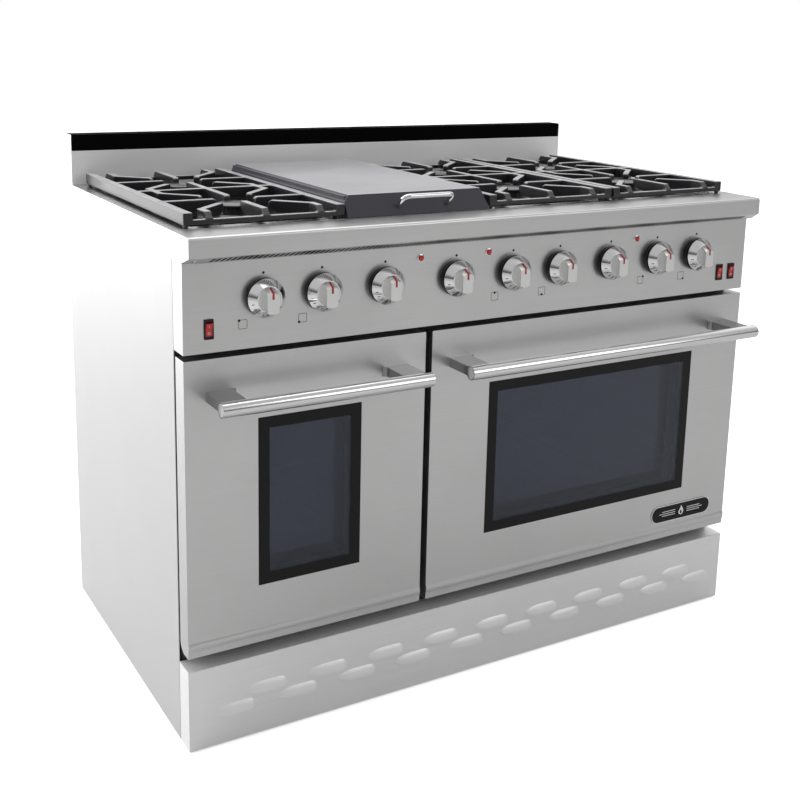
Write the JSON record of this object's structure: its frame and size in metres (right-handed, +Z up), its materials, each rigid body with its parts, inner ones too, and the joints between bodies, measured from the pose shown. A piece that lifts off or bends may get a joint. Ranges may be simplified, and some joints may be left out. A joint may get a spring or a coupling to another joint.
{
  "type": "freestanding gas range",
  "caption": "Wide stainless gas range with a small and a large oven, open burners under iron grates, a covered griddle and a low backguard.",
  "frame": {"origin": "on the floor at the centre of the footprint, measured over the door handles and the back", "axes": "+X to the right facing the front, +Y to the wall behind, +Z up"},
  "size_m": [1.216, 0.768, 0.9925],
  "materials": {
    "brushed_stainless": "brushed along its length",
    "cooktop_stainless": "satin, brighter than the front",
    "handle_stainless": "satin polished",
    "side_paint": "smooth satin light grey",
    "galvanised_steel": "dull zinc-coated sheet",
    "zinc_steel": "zinc plated",
    "black_enamel": "gloss black enamel",
    "cast_iron": "matt enamelled cast iron",
    "burner_brass": "machined brass",
    "valve_brass": "machined brass",
    "griddle_steel": "seasoned steel plate",
    "oven_enamel": "speckled porcelain enamel",
    "rack_chrome": "bright chrome wire",
    "knob_chrome": "chrome skirt, satin grip",
    "fan_steel": "bare pressed steel",
    "motor_black": "black paint",
    "gasket_rubber": "woven heat-proof seal",
    "black_plastic": "satin black",
    "red_plastic": "translucent red",
    "window_glass": "black-bordered tinted glass",
    "cover_aluminium": "satin"
  },
  "bodies": {
    "chassis": {"chassis_frame": "galvanised_steel", "side_panels": "side_paint", "back_panel": "galvanised_steel", "kick_plate": "brushed_stainless", "leveling_legs": "zinc_steel", "cooktop_deck": "cooktop_stainless", "front_rail": "brushed_stainless", "control_panel": "brushed_stainless", "backguard": "brushed_stainless", "backguard_cap": "black_enamel", "burner_bases": "burner_brass", "burner_caps": "black_enamel", "griddle_plate": "griddle_steel", "gas_manifold": "zinc_steel", "gas_valves": "valve_brass", "oven_liner_left": "oven_enamel", "oven_liner_right": "oven_enamel", "oven_racks": "rack_chrome", "oven_burners": "zinc_steel", "fan_motor": "motor_black", "fan_shroud": "oven_enamel", "door_gaskets": "gasket_rubber", "panel_bezels": "black_plastic"},
    "door_left": {"door_skin_left": "brushed_stainless", "door_liner_left": "oven_enamel", "door_glass_left": "window_glass", "door_handle_left": "handle_stainless", "door_hinges_left": "zinc_steel"},
    "door_right": {"door_skin_right": "brushed_stainless", "door_liner_right": "oven_enamel", "door_glass_right": "window_glass", "door_handle_right": "handle_stainless", "door_hinges_right": "zinc_steel"},
    "stem_left_rear": {"stem_left_rear": "valve_brass"},
    "knob_left_rear": {"knob_left_rear": "knob_chrome"},
    "stem_left_front": {"stem_left_front": "valve_brass"},
    "knob_left_front": {"knob_left_front": "knob_chrome"},
    "stem_oven_left": {"stem_oven_left": "valve_brass"},
    "knob_oven_left": {"knob_oven_left": "knob_chrome"},
    "stem_griddle": {"stem_griddle": "valve_brass"},
    "knob_griddle": {"knob_griddle": "knob_chrome"},
    "stem_centre_rear": {"stem_centre_rear": "valve_brass"},
    "knob_centre_rear": {"knob_centre_rear": "knob_chrome"},
    "stem_centre_front": {"stem_centre_front": "valve_brass"},
    "knob_centre_front": {"knob_centre_front": "knob_chrome"},
    "stem_oven_right": {"stem_oven_right": "valve_brass"},
    "knob_oven_right": {"knob_oven_right": "knob_chrome"},
    "stem_right_rear": {"stem_right_rear": "valve_brass"},
    "knob_right_rear": {"knob_right_rear": "knob_chrome"},
    "stem_right_front": {"stem_right_front": "valve_brass"},
    "knob_right_front": {"knob_right_front": "knob_chrome"},
    "rocker_lamp_left": {"rocker_lamp_left": "red_plastic"},
    "rocker_lamp_right": {"rocker_lamp_right": "red_plastic"},
    "rocker_fan": {"rocker_fan": "red_plastic"},
    "griddle_cover": {"griddle_cover": "cover_aluminium", "griddle_cover_handle": "handle_stainless"},
    "grate_left": {"grate_left": "cast_iron"},
    "grate_centre": {"grate_centre": "cast_iron"},
    "grate_right": {"grate_right": "cast_iron"},
    "convection_fan": {"convection_fan": "fan_steel"}
  },
  "joints": [
    {"name": "door_left", "type": "hinge", "parent": "chassis", "child": "door_left", "pos_m": [-0.384, -0.276, 0.195], "axis": [1, 0, 0], "range_deg": [0, 88], "stiffness_Nm_per_rad": 12, "springref_deg": -20.05},
    {"name": "door_right", "type": "hinge", "parent": "chassis", "child": "door_right", "pos_m": [0.2305, -0.276, 0.195], "axis": [1, 0, 0], "range_deg": [0, 88], "stiffness_Nm_per_rad": 20, "springref_deg": -20.05},
    {"name": "turn_left_rear", "type": "hinge", "parent": "chassis", "child": "stem_left_rear", "pos_m": [-0.471, -0.316, 0.782], "axis": [0, -1, 0], "range_deg": [0, 225]},
    {"name": "push_left_rear", "type": "slide", "parent": "stem_left_rear", "child": "knob_left_rear", "axis": [0, 1, 0], "range_m": [0, 0.003], "stiffness_N_per_m": 700, "springref_m": -0.003},
    {"name": "turn_left_front", "type": "hinge", "parent": "chassis", "child": "stem_left_front", "pos_m": [-0.366, -0.316, 0.782], "axis": [0, -1, 0], "range_deg": [0, 225]},
    {"name": "push_left_front", "type": "slide", "parent": "stem_left_front", "child": "knob_left_front", "axis": [0, 1, 0], "range_m": [0, 0.003], "stiffness_N_per_m": 700, "springref_m": -0.003},
    {"name": "turn_oven_left", "type": "hinge", "parent": "chassis", "child": "stem_oven_left", "pos_m": [-0.246, -0.316, 0.782], "axis": [0, -1, 0], "range_deg": [0, 285]},
    {"name": "push_oven_left", "type": "slide", "parent": "stem_oven_left", "child": "knob_oven_left", "axis": [0, 1, 0], "range_m": [0, 0.003], "stiffness_N_per_m": 700, "springref_m": -0.003},
    {"name": "turn_griddle", "type": "hinge", "parent": "chassis", "child": "stem_griddle", "pos_m": [-0.102, -0.316, 0.782], "axis": [0, -1, 0], "range_deg": [0, 225]},
    {"name": "push_griddle", "type": "slide", "parent": "stem_griddle", "child": "knob_griddle", "axis": [0, 1, 0], "range_m": [0, 0.003], "stiffness_N_per_m": 700, "springref_m": -0.003},
    {"name": "turn_centre_rear", "type": "hinge", "parent": "chassis", "child": "stem_centre_rear", "pos_m": [0.021, -0.316, 0.782], "axis": [0, -1, 0], "range_deg": [0, 225]},
    {"name": "push_centre_rear", "type": "slide", "parent": "stem_centre_rear", "child": "knob_centre_rear", "axis": [0, 1, 0], "range_m": [0, 0.003], "stiffness_N_per_m": 700, "springref_m": -0.003},
    {"name": "turn_centre_front", "type": "hinge", "parent": "chassis", "child": "stem_centre_front", "pos_m": [0.128, -0.316, 0.782], "axis": [0, -1, 0], "range_deg": [0, 225]},
    {"name": "push_centre_front", "type": "slide", "parent": "stem_centre_front", "child": "knob_centre_front", "axis": [0, 1, 0], "range_m": [0, 0.003], "stiffness_N_per_m": 700, "springref_m": -0.003},
    {"name": "turn_oven_right", "type": "hinge", "parent": "chassis", "child": "stem_oven_right", "pos_m": [0.25, -0.316, 0.782], "axis": [0, -1, 0], "range_deg": [0, 285]},
    {"name": "push_oven_right", "type": "slide", "parent": "stem_oven_right", "child": "knob_oven_right", "axis": [0, 1, 0], "range_m": [0, 0.003], "stiffness_N_per_m": 700, "springref_m": -0.003},
    {"name": "turn_right_rear", "type": "hinge", "parent": "chassis", "child": "stem_right_rear", "pos_m": [0.367, -0.316, 0.782], "axis": [0, -1, 0], "range_deg": [0, 225]},
    {"name": "push_right_rear", "type": "slide", "parent": "stem_right_rear", "child": "knob_right_rear", "axis": [0, 1, 0], "range_m": [0, 0.003], "stiffness_N_per_m": 700, "springref_m": -0.003},
    {"name": "turn_right_front", "type": "hinge", "parent": "chassis", "child": "stem_right_front", "pos_m": [0.471, -0.316, 0.782], "axis": [0, -1, 0], "range_deg": [0, 225]},
    {"name": "push_right_front", "type": "slide", "parent": "stem_right_front", "child": "knob_right_front", "axis": [0, 1, 0], "range_m": [0, 0.003], "stiffness_N_per_m": 700, "springref_m": -0.003},
    {"name": "switch_lamp_left", "type": "hinge", "parent": "chassis", "child": "rocker_lamp_left", "pos_m": [-0.565, -0.293, 0.738], "axis": [-1, 0, 0], "range_deg": [0, 18]},
    {"name": "switch_lamp_right", "type": "hinge", "parent": "chassis", "child": "rocker_lamp_right", "pos_m": [0.541, -0.293, 0.738], "axis": [-1, 0, 0], "range_deg": [0, 18]},
    {"name": "switch_fan", "type": "hinge", "parent": "chassis", "child": "rocker_fan", "pos_m": [0.573, -0.293, 0.738], "axis": [-1, 0, 0], "range_deg": [0, 18]},
    {"name": "cover_lift", "type": "slide", "parent": "chassis", "child": "griddle_cover", "axis": [0, 0, 1], "range_m": [0, 0.2]},
    {"name": "grate_lift_left", "type": "slide", "parent": "chassis", "child": "grate_left", "axis": [0, 0, 1], "range_m": [0, 0.15]},
    {"name": "grate_lift_centre", "type": "slide", "parent": "chassis", "child": "grate_centre", "axis": [0, 0, 1], "range_m": [0, 0.15]},
    {"name": "grate_lift_right", "type": "slide", "parent": "chassis", "child": "grate_right", "axis": [0, 0, 1], "range_m": [0, 0.15]},
    {"name": "fan_spin", "type": "hinge", "parent": "chassis", "child": "convection_fan", "pos_m": [0.2305, 0.264, 0.418], "axis": [0, -1, 0], "continuous": true}
  ]
}
